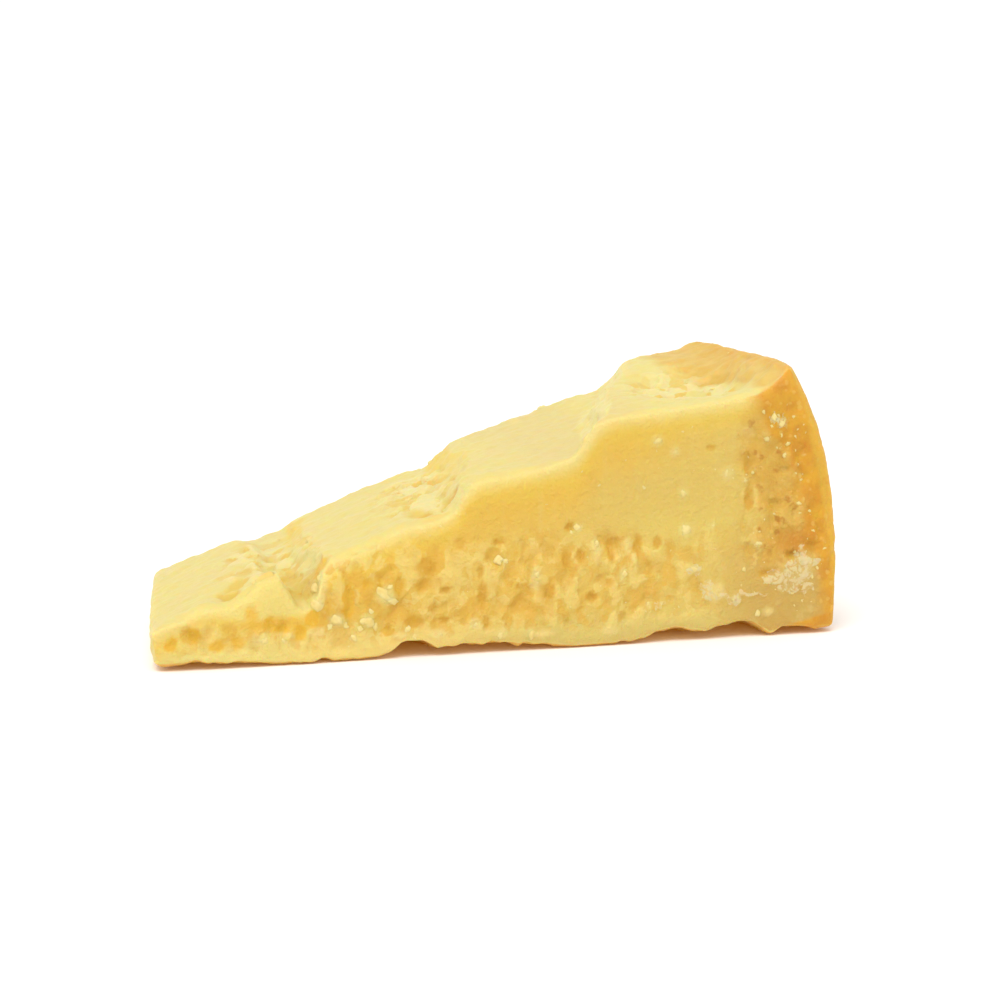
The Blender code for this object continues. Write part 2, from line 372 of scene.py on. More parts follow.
# Pits and pale knots in the split top: middle x and y, half width, half length, depth.
SPLIT_PITS = (
    (-75.2, -31.5, 2.2, 4.5, 2.6),
    (-71.0, -25.0, 2.6, 3.6, 1.6),
    (-68.0, -15.0, 1.5, 7.0, 1.0),
    (-63.0, 16.0, 1.4, 6.0, 0.7),
    (-57.6, -20.0, 2.2, 9.0, 1.2),
    (-56.8, 3.0, 1.6, 6.0, 0.8),
    (-51.2, -33.0, 1.8, 5.0, 1.4),
    (-22.6, -26.0, 2.4, 7.0, 2.4),
    (-15.4, -29.5, 1.5, 3.4, 2.0),
    (-13.6, 5.0, 1.4, 5.0, 1.0),
    (-9.4, -8.0, 1.4, 8.0, 1.0),
    (-7.6, 12.0, 1.3, 5.0, 0.9),
    (5.4, 1.0, 1.0, 3.0, 0.6),
    (28.6, -7.0, 1.3, 4.0, 0.8),
    (67.6, 12.0, 1.2, 8.0, 0.8),
    (70.6, -4.0, 1.0, 5.0, 0.8),
    (61.0, -22.0, 1.0, 7.0, 0.8),
    (49.0, 2.0, 0.9, 6.0, 0.6),
)
SPLIT_KNOTS = (
    (-82.0, 24.0, 1.6, 4.0),
    (-77.0, 12.0, 1.8, 4.0),
    (-64.0, 30.0, 2.2, 6.0),
    (-47.4, -4.0, 2.2, 5.0),
    (-37.0, 0.0, 1.8, 4.0),
    (-24.0, 8.0, 2.8, 8.0),
    (-19.0, -4.0, 2.6, 5.0),
    (-14.6, -1.0, 1.6, 5.0),
    (-17.6, 12.0, 1.2, 4.0),
    (-9.0, 8.0, 1.0, 4.0),
    (4.2, 24.0, 1.2, 6.0),
    (21.0, 29.0, 2.2, 4.0),
    (47.6, -18.0, 1.8, 7.0),
    (46.0, 30.0, 2.6, 4.0),
)

# Where the front edge stands clear of the table: middle x, half width, height.
FOOT_GAPS = (
    (-76.0, 15.0, 0.9),
    (-27.0, 7.0, 2.0),
    (-16.0, 6.0, 1.3),
    (-4.0, 6.0, 1.2),
    (7.0, 5.0, 1.0),
    (64.0, 11.0, 2.5),
    (81.0, 7.0, 1.5),
)

# White broken bloom in the front cut, next to the rind: middle x and z, half width, half height.
BLOOM_FLECKS = (
    (81.8, 17.6, 4.2, 3.4),
    (83.2, 22.0, 2.0, 2.8),
    (75.6, 16.4, 4.2, 1.8),
    (86.0, 20.2, 2.4, 1.4),
    (78.6, 13.6, 2.6, 1.8),
    (84.6, 13.4, 2.0, 1.4),
    (55.0, 14.0, 1.5, 3.0),
    (58.6, 12.4, 3.0, 1.0),
    (67.0, 12.2, 6.0, 0.6),
    (62.6, 11.0, 1.8, 1.5),
    (51.0, 20.0, 1.9, 1.2),
    (74.6, 60.6, 2.0, 1.4),
    (77.4, 58.8, 1.6, 2.0),
    (41.4, 10.4, 1.2, 1.2),
)

# Crystals in the front cut, each in a paler spot of paste: middle x and z, radius.
FRONT_CRYSTALS = (
    (41.0, 55.0, 1.5),
    (46.0, 52.0, 1.5),
    (61.0, 45.5, 1.9),
    (48.5, 40.5, 1.5),
    (49.0, 30.5, 2.0),
    (73.0, 55.0, 1.7),
    (70.0, 26.0, 1.5),
    (63.0, 11.0, 1.4),
    (66.5, 43.5, 0.8),
    (38.0, 11.0, 0.9),
    (80.5, 60.5, 0.7),
    (81.0, 55.0, 0.8),
    (79.0, 53.0, 0.9),
    (76.0, 52.0, 0.7),
    (78.0, 50.0, 1.0),
    (83.0, 43.0, 0.7),
    (82.5, 36.5, 1.1),
    (86.5, 28.5, 1.0),
    (57.0, 31.5, 0.6),
    (5.0, 4.4, 1.5),
    (-20.0, 6.0, 1.2),
)

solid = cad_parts["parmesan_wedge"]
bpy.ops.object.select_all(action="DESELECT")
solid.select_set(True)
bpy.context.view_layer.objects.active = solid
bpy.ops.object.duplicate()
paste = bpy.context.object
paste.name = "cheese_paste"
paste.parent = None
for mark in list(paste.keys()):
    del paste[mark]
bpy.ops.object.mode_set(mode="EDIT")
bpy.ops.mesh.select_all(action="SELECT")
bpy.ops.mesh.remove_doubles(threshold=1e-6)
bpy.ops.mesh.tris_convert_to_quads()
bpy.ops.object.mode_set(mode="OBJECT")


def apply_modifier(piece, kind, name, **settings):
    """Adds a modifier to the active piece, sets it and applies it."""
    modifier = piece.modifiers.new(name, kind)
    for setting, value in settings.items():
        setattr(modifier, setting, value)
    bpy.ops.object.modifier_apply(modifier=modifier.name)


def stay_in_solid(piece):
    """Moves back the points of a piece that stand out of the solid's own box."""
    for vertex in piece.data.vertices:
        vertex.co.x = min(max(vertex.co.x, cad_low.x), cad_high.x)
        vertex.co.y = min(max(vertex.co.y, cad_low.y), cad_high.y)
        vertex.co.z = min(max(vertex.co.z, cad_low.z), cad_high.z)


# The edges of the marks are soft, so each spreads somewhat past the half sizes given: flecks,
# pits, knots and the pale spots round crystals on the front, and pits and knots on the split top.
FLECK_SPREAD = 1.15
PIT_SPREAD = 1.2
KNOT_SPREAD = 1.1
HALO_SPREAD = 1.5
SPLIT_PIT_SPREAD = (1.5, 1.2)
SPLIT_KNOT_SPREAD = (1.4, 1.2)


def front_mark(spot, middle_x, middle_z, half_x, half_z, spread, full=0.45):
    """How far a place is within an oval mark on the front cut."""
    middle = (middle_x, FRONT_MARK_Y, middle_z)
    return spot.spot_at(middle, (half_x * spread, FRONT_MARK_REACH, half_z * spread), full)


def split_mark(flat_spot, middle_x, middle_y, half_x, half_y, spreads, full):
    """How far a place is within an oval mark on the split top, whatever its height."""
    sizes = (half_x * spreads[0], half_y * spreads[1], 1.0)
    return flat_spot.spot_at((middle_x, middle_y, 0.0), sizes, full)


def bloom_flecks(spot):
    """How far a place is within the white bloom: ragged flecks, split by fine cracks."""
    ragged = spot.wobbled(4.0, 1.8, 22.0).wobbled(1.3, 0.8, 24.0)
    white = ragged.axis(0) * 0.0
    for middle_x, middle_z, half_x, half_z in BLOOM_FLECKS:
        fleck = front_mark(ragged, middle_x, middle_z, half_x, half_z, FLECK_SPREAD, 0.7)
        white = white.most(fleck)
    fibres = abs(spot.wobbled(2.0, 0.8, 21.0).noise(2.6, 3.0, 23.0)).rise(0.03, 0.24)
    return white.rise(0.25, 0.75) * (0.2 + 0.8 * fibres)


def broken_lumps(spot):
    """A number for each rough lump where a split face has crumbled, from 0 to 1."""
    return spot.wobbled(4.0, 1.4, 34.0).cells(5.0, 35.0, "SMOOTH_F1", "Color", 0.12).axis(0)


def scored_lines(spot):
    """0 on the faint lines that score the rind from front to rear, and more beside them."""
    return abs(spot.vector("MULTIPLY", (1.0, 0.35, 1.0)).noise(7.0, 3.0, 72.0))


def new_relief(name):
    """A geometry node tree that passes a mesh on, with the mesh, its places and its normals."""
    tree = bpy.data.node_groups.new(name, "GeometryNodeTree")
    tree.interface.new_socket("Mesh", in_out="INPUT", socket_type="NodeSocketGeometry")
    tree.interface.new_socket("Mesh", in_out="OUTPUT", socket_type="NodeSocketGeometry")
    mesh = Wire(tree.nodes.new("NodeGroupInput").outputs[0])
    spot = mesh.node("GeometryNodeInputPosition").scaled(PER_METRE)
    facing = mesh.node("GeometryNodeInputNormal")
    return tree, mesh, spot, facing


def keep_note(mesh, name, value):
    """Stores a value on the mesh's points, for the finish to read."""
    inputs = {"Geometry": mesh, "Name": name, "Value": value}
    settings = {"data_type": "FLOAT", "domain": "POINT"}
    return mesh.node("GeometryNodeStoreNamedAttribute", settings, inputs)


def note(mesh, name):
    """A value that keep_note stored on the mesh."""
    settings = {"data_type": "FLOAT"}
    return mesh.node("GeometryNodeInputNamedAttribute", settings, {"Name": name})


def raised(mesh, facing, height):
    """Moves the points out along their normals by height, in millimetres."""
    inputs = {"Geometry": mesh, "Offset": facing.scaled(height * MILLIMETRE)}
    return mesh.node("GeometryNodeSetPosition", {}, inputs)


def finish_relief(tree, mesh):
    """Passes the shaped mesh out of its node tree."""
    mesh.into(tree.nodes.new("NodeGroupOutput").inputs[0])
    return tree


# The line beside the front or rear face along which the crest is taken, and a height above all of
# the cheese, both in metres.
CREST_LINE_Y = 0.035
ABOVE_CHEESE = 0.2

# The depths of the pits, as shares of those given: in the thin end, left of THIN_END_X, in the
# rest of the front, and in the split top.
THIN_END_X = -45.0
THIN_END_PIT_DEPTH = 0.4
FRONT_PIT_DEPTH = 0.9
SPLIT_PIT_DEPTH = 0.7


def chunky_relief():
    """Swells, broken walls, lumps of curd and torn pits: what is wider than two millimetres."""
    tree, mesh, spot, facing = new_relief("chunky_relief")
    x, y, z = (spot.axis(index) for index in range(3))
    out_x, out_y, out_z = (facing.axis(index) for index in range(3))

    # How far below the crest a place is: the crest is met straight down, just inside the face.
    place_above = {
        "X": x * MILLIMETRE,
        "Y": y.math("SIGN", y) * CREST_LINE_Y,
        "Z": ABOVE_CHEESE,
    }
    downward = {
        "Target Geometry": mesh,
        "Source Position": mesh.node("ShaderNodeCombineXYZ", {}, place_above),
        "Ray Direction": (0, 0, -1),
        "Ray Length": 1.0,
    }
    crest = mesh.node("GeometryNodeRaycast", {}, downward, "Hit Position").axis(2) * PER_METRE
    drop = crest - z

    # The wedge's faces, told apart by the way they face.
    rind = out_x.rise(0.62, 0.86) * x.rise(60.0, 72.0)
    split = abs(out_z).rise(0.50, 0.82).most((-out_x).rise(0.6, 0.85) * x.rise(-80.0, -90.0))
    wall = (-out_x).rise(0.40, 0.62) * out_z.rise(0.2, 0.4) * x.rise(-80.0, -75.0)
    cut = abs(out_y).rise(0.45, 0.8)
    front = (-out_y).rise(0.3, 0.7) * y.rise(-28.0, -34.0)
    under = (-out_z).rise(0.4, 0.8)

    # Where the cut faces are torn: across their low half, in the thin end and next to the rind.
    uneven = spot.noise(19.0, 1.0, 3.0)
    low_half = (z + 4.0 * uneven).rise(34.0, 26.0) * (z + 2.0 * uneven).rise(3.0, 8.0)
    low_half = low_half * (x + 5.0 * uneven).rise(66.0, 46.0)
    thin_end = x.rise(-30.0, -44.0) * z.rise(2.0, 5.0) * drop.rise(2.0, 7.0)
    knob = x.rise(-50.0, -54.0) * (z + 1.5 * uneven).rise(10.5, 13.5)
    thin_end = thin_end * (1 - knob) * (1 - 0.25 * x.rise(-44.0, -56.0))
    near_rind = (x + 3.0 * uneven).rise(63.0, 69.0) * z.rise(14.0, 24.0)
    near_rind = near_rind * drop.rise(5.0, 12.0) * (1 - rind)
    rough = cut * (low_half * (1 - knob)).most(thin_end).most(near_rind * 0.9)
    rough = rough * x.rise(-93.0, -87.0)

    # The torn curd is in lumps that are taller than wide, with gaps between some of them.
    tall = spot.vector("MULTIPLY", (1.0, 1.0, 0.62)).wobbled(5.0, 0.9, 2.0)
    lumps = tall.cells(4.2, 1.0)
    small_lumps = tall.cells(2.3, 2.0)
    chunk = tall.cells(3.4, 51.0, "SMOOTH_F1", "Color", 0.2).axis(0)
    gap = lumps.rise(0.50, 0.78) * (spot.noise(7.0, 1.0, 6.0) + 0.5).rise(-0.1, 0.6)

    # The pits and knots, with a pale spot round each crystal: first the front's, then the top's.
    front_spot = spot.wobbled(2.6, 0.7, 5.0)
    pit = front * 0.0
    for middle_x, middle_z, half_x, half_z, depth in FRONT_PITS:
        here = front_mark(front_spot, middle_x, middle_z, half_x, half_z, PIT_SPREAD)
        share = THIN_END_PIT_DEPTH if middle_x < THIN_END_X else FRONT_PIT_DEPTH
        pit = pit.most(here * (depth * share))
    pit = pit * front
    knot = front * 0.0
    for middle_x, middle_z, half_x, half_z in FRONT_KNOTS:
        here = front_mark(front_spot, middle_x, middle_z, half_x, half_z, KNOT_SPREAD)
        knot = knot.most(here)
    for middle_x, middle_z, radius in FRONT_CRYSTALS:
        here = front_mark(front_spot, middle_x, middle_z, radius, radius, HALO_SPREAD, 0.2)
        knot = knot.most(here * 0.8)
    knot = knot * front

    flat_spot = spot.wobbled(5.0, 2.6, 15.0).vector("MULTIPLY", (1.0, 1.0, 0.0))
    top = out_z.rise(0.2, 0.6)
    for middle_x, middle_y, half_x, half_y, depth in SPLIT_PITS:
        here = split_mark(flat_spot, middle_x, middle_y, half_x, half_y, SPLIT_PIT_SPREAD, 0.1)
        pit = pit.most(here * depth * SPLIT_PIT_DEPTH * top)
    for middle_x, middle_y, half_x, half_y in SPLIT_KNOTS:
        here = split_mark(flat_spot, middle_x, middle_y, half_x, half_y, SPLIT_KNOT_SPREAD, 0.3)
        knot = knot.most(here * top)

    # How far all of this stands out or lies back, with a flat rest under it.
    bloom = front * bloom_flecks(spot)
    swell = 0.40 * spot.noise(34.0, 1.0) + 0.25 * spot.noise(13.0, 1.0, 1.0) - 0.6
    ribs = spot.vector("MULTIPLY", (1.0, 1.0, 0.12)).noise(2.8, 1.0, 11.0)
    height = swell * (1 - rind * 0.7)
    height = height + wall * (0.9 * spot.noise(6.0, 3.0, 8.0) - 1.2 * spot.cells(4.2, 3.0) + 0.5)
    crumbly = 0.1 - 0.8 * lumps * lumps - 0.4 * small_lumps * small_lumps - 0.5 * gap
    height = height + rough * crumbly
    height = height + rough * 0.9 * (chunk - 0.6)
    height = height + (cut - rough) * 0.08 * ribs
    height = height + knot * 0.4
    height = height + bloom * 0.45
    height = height - pit * 0.75
    set_back = 1.1 * z.rise(26.5, 24.0) * front.most(0.5)
    height = height + rind * (0.30 * spot.noise(11.0, 2.0, 71.0) - set_back)
    height = height * z.rise(0.2, 2.0).most(under)
    height = height * (1 - 0.8 * under)

    # The foot is broken too: scallops along the rear, and the gaps in front.
    sole = spot.vector("MULTIPLY", (1.0, 1.0, 0.0)).wobbled(4.0, 1.0, 61.0)
    scallops = 1.4 * sole.cells(8.0, 13.0).rise(0.25, 0.85) * y.rise(-20.0, 0.0)
    small_scallops = 0.9 * sole.cells(3.6, 14.0).rise(0.35, 0.85)
    scallops = scallops + small_scallops * sole.noise(16.0, 1.0, 15.0).rise(-0.5, 0.5)
    clear = x * 0.0
    for middle_x, half_width, gap_height in FOOT_GAPS:
        here = abs(sole.axis(0) - middle_x).rise(half_width, half_width * 0.3)
        clear = clear.most(here * gap_height)
    lift = (scallops + clear * y.rise(-18.0, -30.0)) * z.rise(7.0, 0.0)

    for name, value in (
        ("split", split),
        ("wall", wall),
        ("cut", cut),
        ("front", front),
        ("rind", rind),
        ("rough", rough),
        ("gap", gap * rough),
        ("chunk", chunk),
        ("pit", pit.least(1.0)),
        ("knot", knot),
        ("drop", drop),
        ("under", under),
    ):
        mesh = keep_note(mesh, name, value)
    upward = mesh.node("ShaderNodeCombineXYZ", {}, {"Z": lift * MILLIMETRE})
    mesh = raised(mesh, facing, height)
    mesh = mesh.node("GeometryNodeSetPosition", {}, {"Geometry": mesh, "Offset": upward})
    return finish_relief(tree, mesh)


def grain_relief():
    """The small grain of the curd, its torn patches on the split top, and the rind's lines."""
    tree, mesh, spot, facing = new_relief("grain_relief")
    split, rough, rind, cut = (note(mesh, name) for name in ("split", "rough", "rind", "cut"))
    hollow = spot.spot_at((61.0, -8.0, 66.0), (20.0, 28.0, 14.0))
    crumbled = spot.wobbled(14.0, 7.0, 31.0).spot_at((-17.0, -6.0, 38.0), (13.0, 38.0, 16.0))
    gully = spot.wobbled(14.0, 7.0, 32.0).spot_at((-60.0, -8.0, 22.0), (18.0, 44.0, 14.0))
    torn = hollow.most(crumbled).most(gully * 0.8)
    height = split * (0.17 * spot.noise(2.4, 2.0, 7.0) + 0.32 * spot.noise(6.0, 2.0, 5.0))
    height = height - split * 0.55 * spot.wobbled(4.0, 1.0, 38.0).cells(4.6, 39.0)
    height = height + split * torn * (0.3 - 1.1 * spot.wobbled(3.0, 0.8, 33.0).cells(3.6, 4.0))
    height = height + split * torn * 1.7 * (broken_lumps(spot) - 0.5) - split * 1.6 * hollow
    height = height + rough * 0.14 * spot.noise(2.2, 2.0, 17.0)
    height = height + cut * 0.06 * spot.noise(4.0, 2.0, 6.0)
    height = height + rind * 0.09 * spot.noise(3.0, 3.0, 9.0)
    height = height - rind * 0.2 * scored_lines(spot).rise(0.06, 0.0)
    mesh = keep_note(mesh, "torn", torn * split)
    return finish_relief(tree, raised(mesh, facing, height * spot.axis(2).rise(0.2, 2.5)))


apply_modifier(paste, "REMESH", "even_mesh", mode="VOXEL", voxel_size=MESH_SPACING)
apply_modifier(paste, "SMOOTH", "soften_facets", factor=0.5, iterations=14)
apply_modifier(paste, "NODES", "chunky_relief", node_group=chunky_relief())
apply_modifier(paste, "SMOOTH", "wear_edges", factor=0.5, iterations=1)
apply_modifier(paste, "NODES", "grain_relief", node_group=grain_relief())
stay_in_solid(paste)
paste.data.shade_smooth()

# The share of a colour that a surface needs in this light to look that colour, and the power
# that turns a screen value into light.
LIGHT_ALLOWANCE = 0.85
SCREEN_POWER = 2.2

# What is the same all over the paste. Light goes furthest into it in the red.
PASTE_LOOK = {
    "Specular IOR Level": 0.4,
    "Subsurface Weight": 0.55,
    "Subsurface Radius": (1.0, 0.32, 0.07),
    "Subsurface Scale": 0.0045,
}


def tint(red, green, blue):
    """A colour for a shader from its screen values out of 255, as it looks in this light."""
    shares = (LIGHT_ALLOWANCE * (value / 255) ** SCREEN_POWER for value in (red, green, blue))
    return (*shares, 1)


def paste_finish():
    """The paste's and the rind's colours, laid over each other from the inside out."""
    finish, shader, place = new_finish("aged_paste", PASTE_LOOK)
    spot = place.scaled(PER_METRE)
    x, y, z = (spot.axis(index) for index in range(3))

    def noted(name):
        return place.node("ShaderNodeAttribute", {"attribute_name": name}, {}, "Fac")

    split, cut, rind, front, wall, under, drop = (
        noted(name) for name in ("split", "cut", "rind", "front", "wall", "under", "drop")
    )
    rough, gap, chunk, pit, knot, torn = (
        noted(name) for name in ("rough", "gap", "chunk", "pit", "knot", "torn")
    )
    depth = WHEEL_RADIUS - ((x - WHEEL_AXIS_X) ** 2.0 + z**2.0) ** 0.5
    patches = spot.noise(11.0, 3.0, 1.0)
    mottle = spot.noise(4.5, 3.0, 2.0)
    specks = spot.noise(1.5, 2.0, 8.0)

    # The cut faces: pale along the crest, golden below it and paler towards the foot, all three
    # painted
    # light: a painted highlight on the crest's edge, painted glow below it and painted bounce
    # light at the foot.
    colour = blend((x + 8.0 * patches).rise(-10.0, 50.0), tint(229, 190, 86), tint(225, 193, 97))
    # Painted glow: a deeper golden band some way below the crest.
    golden = (drop + 1.5 * mottle).rise(22.0, 9.0) * x.rise(70.0, 30.0)
    colour = blend(golden * 0.8, colour, tint(234, 188, 72))
    # Painted light: a paler band where the front cut bends forward and faces more upward.
    patchy_z = z + 2.0 * patches
    lit_bend = patchy_z.rise(23.0, 29.0) * patchy_z.rise(38.0, 32.0) * x.rise(20.0, 40.0)
    colour = blend(lit_bend * 0.8, colour, tint(226, 198, 100))
    # Painted bounce light from the card: paler towards the foot.
    foot = (z + 2.0 * mottle).rise(11.0, 5.0)
    foot_bounce_colour = blend(x.rise(-30.0, 10.0), tint(241, 216, 128), tint(219, 198, 112))
    colour = blend(foot * 0.85, colour, foot_bounce_colour)
    streaks = spot.vector("MULTIPLY", (1.0, 1.0, 0.10)).noise(3.0, 3.0, 28.0)
    plain = cut * (1 - rough)
    colour = blend(plain * streaks.rise(0.0, 1.2) * 0.35, colour, tint(232, 206, 124))
    colour = blend(plain * streaks.rise(0.0, -1.2) * 0.35, colour, tint(221, 182, 80))
    low_right = x.rise(52.0, 74.0) * (z + 3.0 * patches).rise(36.0, 22.0) * (1 - split)
    colour = blend(low_right * 0.9, colour, tint(208, 168, 82))
    tip_glow = x.rise(-60.0, -85.0)
    colour = blend(tip_glow * 0.7, colour, tint(238, 214, 118))
    # Painted light: the tip's foot made paler against the shade where it curves down to the card.
    tip_foot_painted_light = (z + 1.5 * mottle).rise(9.0, 4.0) * x.rise(-48.0, -72.0)
    tip_foot_painted_light = tip_foot_painted_light.most(x.rise(-86.0, -92.0))
    colour = blend(tip_foot_painted_light * 0.85, colour, tint(235, 218, 130))
    # Painted glow and painted highlight: golden just under the crest, and pale along its very
    # edge.
    crest = (drop + 0.8 * mottle).rise(13.0, 2.0)
    colour = blend(crest, colour, tint(235, 199, 78))
    crest_highlight = (drop + 0.5 * mottle).rise(7.0, 0.5)
    colour = blend(crest_highlight, colour, tint(233, 216, 136))
    # Painted highlight on the knob's lit face.
    knob = spot.spot_at((-66.0, -40.5, 17.5), (15.0, 14.0, 6.5), 0.7)
    colour = blend(knob * 0.9, colour, tint(235, 215, 124))
    # Painted highlight on the notch's wall, which faces the light.
    lit_notch_wall = spot.spot_at((-52.4, -38.0, 19.5), (3.0, 9.0, 6.0), 0.5)
    colour = blend(lit_notch_wall * 0.8, colour, tint(238, 220, 140))

    # The split faces are paler; in their torn patches the deeper yellow of the hollows is painted
    # shade and the paler tops of the lumps are painted light.
    split_colour = blend(patches.rise(-1.0, 1.0), tint(232, 210, 132), tint(232, 213, 120))
    split_colour = blend(mottle.rise(0.2, 1.3) * 0.5, split_colour, tint(234, 214, 148))
    split_colour = blend(x.rise(34.0, 46.0) * 0.7, split_colour, tint(233, 217, 134))
    shelf = x.rise(0.0, 16.0) * x.rise(40.0, 30.0) * (1 - wall)
    split_colour = blend(shelf * 0.8, split_colour, tint(229, 206, 130))
    broken = broken_lumps(spot)
    # Painted shade in the low lumps of the torn patches, and painted light on the high ones.
    split_colour = blend(torn * broken.rise(0.50, 0.25) * 0.7, split_colour, tint(233, 190, 82))
    split_colour = blend(torn * broken.rise(0.50, 0.75) * 0.6, split_colour, tint(239, 225, 160))
    colour = blend(split, colour, split_colour)
    rear_wall = wall * y.rise(-10.0, 30.0) * x.rise(25.0, 15.0)
    colour = blend(rear_wall * 0.7, colour, tint(238, 200, 84))
    # Painted highlight on the wall of the step towards the rind, which faces the light.
    colour = blend(wall * x.rise(22.0, 28.0) * 0.9, colour, tint(238, 222, 146))

    # The torn curd: pale and deep yellow lumps, pale knots, and painted shade in the gaps and
    # pits, under the knob and on the notch's floor.
    flakes = spot.wobbled(2.0, 0.6, 52.0).cells(2.2, 53.0, "SMOOTH_F1", "Color", 0.07).axis(0)
    paleness = 0.65 * chunk + 0.35 * flakes
    colour = blend(rough * paleness.rise(0.52, 0.72) * 0.7, colour, tint(236, 209, 118))
    colour = blend(rough * paleness.rise(0.46, 0.26) * 0.6, colour, tint(229, 177, 66))
    speckled = plain * x.rise(40.0, 56.0) * (z + 3.0 * patches).rise(34.0, 20.0)
    colour = blend(speckled * mottle.rise(0.1, 0.9) * 0.5, colour, tint(228, 206, 128))
    colour = blend(speckled * mottle.rise(-0.1, -0.9) * 0.6, colour, tint(206, 162, 70))
    # Painted shade: deeper orange in the gaps between the lumps.
    colour = blend(gap * 0.45, colour, tint(226, 168, 55))
    colour = blend(knot * 0.7, colour, tint(236, 214, 134))
    near_tip = x.rise(-20.0, -50.0)
    # Painted shade: a deeper orange band under the knob.
    shade_under_knob = spot.wobbled(3.0, 1.2, 36.0).spot_at((-64.5, -40.5, 11.0), (10.0, 9.0, 2.8))
    colour = blend(shade_under_knob * 0.7, colour, tint(238, 189, 66))
    # Painted shade: the notch's floor darker and more golden.
    shaded_notch_floor = spot.wobbled(3.0, 1.2, 37.0).spot_at((-54.0, -31.0, 18.5), (7.0, 10.0, 7.0), 0.3)
    colour = blend(shaded_notch_floor * (1 - front) * 0.8, colour, tint(220, 184, 78))
    # Painted shade: deeper orange in the pits, strongest towards the tip.
    pit_colour = blend(near_tip, tint(222, 165, 50), tint(238, 184, 46))
    pit_colour = blend(split, pit_colour, tint(228, 190, 82))
    colour = blend((pit * (1.0 + near_tip) * (1.0 - 0.4 * split)).least(0.8), colour, pit_colour)

    # Towards the rind the paste dries to a deep orange, with pale grains and torn pits whose brown
    # is painted shade.
    edge = depth + 2.6 * spot.noise(7.0, 3.0, 22.0)
    deep = edge - 8.0 - 3.0 * z.rise(18.0, 26.0) - 6.5 * z.rise(46.0, 62.0) + 3.0 * split
    deep = deep - 10.0 * z.rise(6.0, 2.0) * x.rise(70.0, 76.0)
    torn_edge = 4.0 * spot.noise(13.0, 2.0, 27.0) + 3.0 * spot.noise(3.4, 3.0, 29.0)
    dry_limit = (x + torn_edge - 0.22 * (52.0 - z).most(0.0)).rise(63.0, 68.0)
    torn_z = z + torn_edge
    dry_zone = dry_limit * torn_z.rise(19.0, 28.0) * torn_z.rise(66.0, 56.0) * (1 - split)
    colour = blend(dry_zone * (0.75 + 0.35 * mottle).least(1.0), colour, tint(217, 168, 66))
    # Painted shade: brown in the torn pits of the dry zone.
    pits = spot.wobbled(2.0, 0.8, 44.0).cells(3.6, 43.0).rise(0.36, 0.16)
    colour = blend(dry_zone * pits * specks.rise(-1.0, 0.4) * 0.85, colour, tint(193, 132, 40))
    deep_colour = blend(mottle.rise(-0.8, 0.8), tint(213, 144, 28), tint(229, 172, 42))
    colour = blend(deep.rise(2.5, -2.5) * cut * 0.95, colour, deep_colour)
    grains = spot.wobbled(1.2, 0.3, 42.0).cells(2.9, 41.0).rise(0.30, 0.20)
    grains = grains * dry_zone.most(deep.rise(6.0, 0.0) * cut)
    colour = blend(grains * 0.4, colour, tint(236, 196, 100))
    top_rim = (edge + 2.0 * patches - 8.0 * y.rise(-20.0, 25.0)).rise(16.0, 10.0)
    top_rim = top_rim * split * x.rise(48.0, 56.0)
    top_rim_colour = blend(mottle.rise(-0.8, 0.8), tint(223, 176, 76), tint(231, 194, 100))
    colour = blend(top_rim * 0.9, colour, top_rim_colour)
    colour = blend(split * x.rise(72.0, 86.0) * 0.65, colour, tint(221, 164, 52))
    rim = (depth + 1.2 * mottle).rise(5.0, 3.0) * (1 - split)
    colour = blend(rim * 0.85, colour, tint(228, 180, 60))
    scorch = spot.wobbled(3.0, 1.2, 46.0).spot_at((82.0, -40.5, 26.0), (10.0, 10.0, 5.5), 0.2)
    colour = blend(scorch * front * 0.75, colour, tint(205, 138, 36))

    # The rind: worn in pale patches, darker next to the splits, scored and pricked with pinholes.
    worn = spot.noise(14.0, 4.0, 73.0).rise(-0.9, 0.8)
    rind_colour = blend(worn, tint(222, 162, 64), tint(236, 190, 92))
    rubbed = spot.noise(3.0, 4.0, 75.0).rise(0.0, 1.3)
    rind_colour = blend(rubbed * 0.5, rind_colour, tint(240, 206, 122))
    by_split = z.rise(20.0, 0.0).most(z.rise(58.0, 76.0))
    rind_colour = blend(by_split * 0.4, rind_colour, tint(214, 148, 50))
    scored = scored_lines(spot).rise(0.035, 0.0)
    rind_colour = blend(scored * 0.3, rind_colour, tint(184, 126, 46))
    pinholes = spot.cells(5.2, 74.0).rise(0.11, 0.05)
    rind_colour = blend(pinholes * 0.55, rind_colour, tint(172, 112, 40))
    colour = blend(rind, colour, rind_colour)

    # Over all of it: the bloom, a painted warm glow on the underside in place of light that comes
    # through the cheese, and the grain's own pale and dark specks.
    colour = blend(front * bloom_flecks(spot) * 0.8, colour, tint(227, 209, 156))
    # Painted glow: the underside orange, to warm the shadow under the wedge.
    colour = blend(under.rise(0.85, 1.0) * 0.7, colour, tint(230, 166, 60))
    grainy = rough + 0.5 * split
    colour = blend(specks.rise(0.2, 1.5) * (0.22 + 0.25 * grainy), colour, tint(244, 224, 160))
    colour = blend(specks.rise(-0.2, -1.5) * (0.18 + 0.25 * grainy), colour, tint(214, 160, 60))
    colour.into(shader.inputs["Base Color"])

    # The rind is waxy and the torn paste dull, and both have a grain too fine to model.
    dullness = 0.52 - 0.12 * rind + 0.08 * rough + 0.05 * mottle
    dullness.into(shader.inputs["Roughness"])
    grain = spot.noise(0.8, 3.0, 4.0) + 1.5 * spot.noise(2.0, 2.0, 14.0)
    bump = {"Strength": 0.5, "Distance": 0.0003, "Height": grain * (1 - 0.8 * split)}
    place.node("ShaderNodeBump", {}, bump).into(shader.inputs["Normal"])
    return finish


paste.data.materials.clear()
paste.data.materials.append(paste_finish())
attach(paste, "root")
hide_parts("parmesan_wedge")

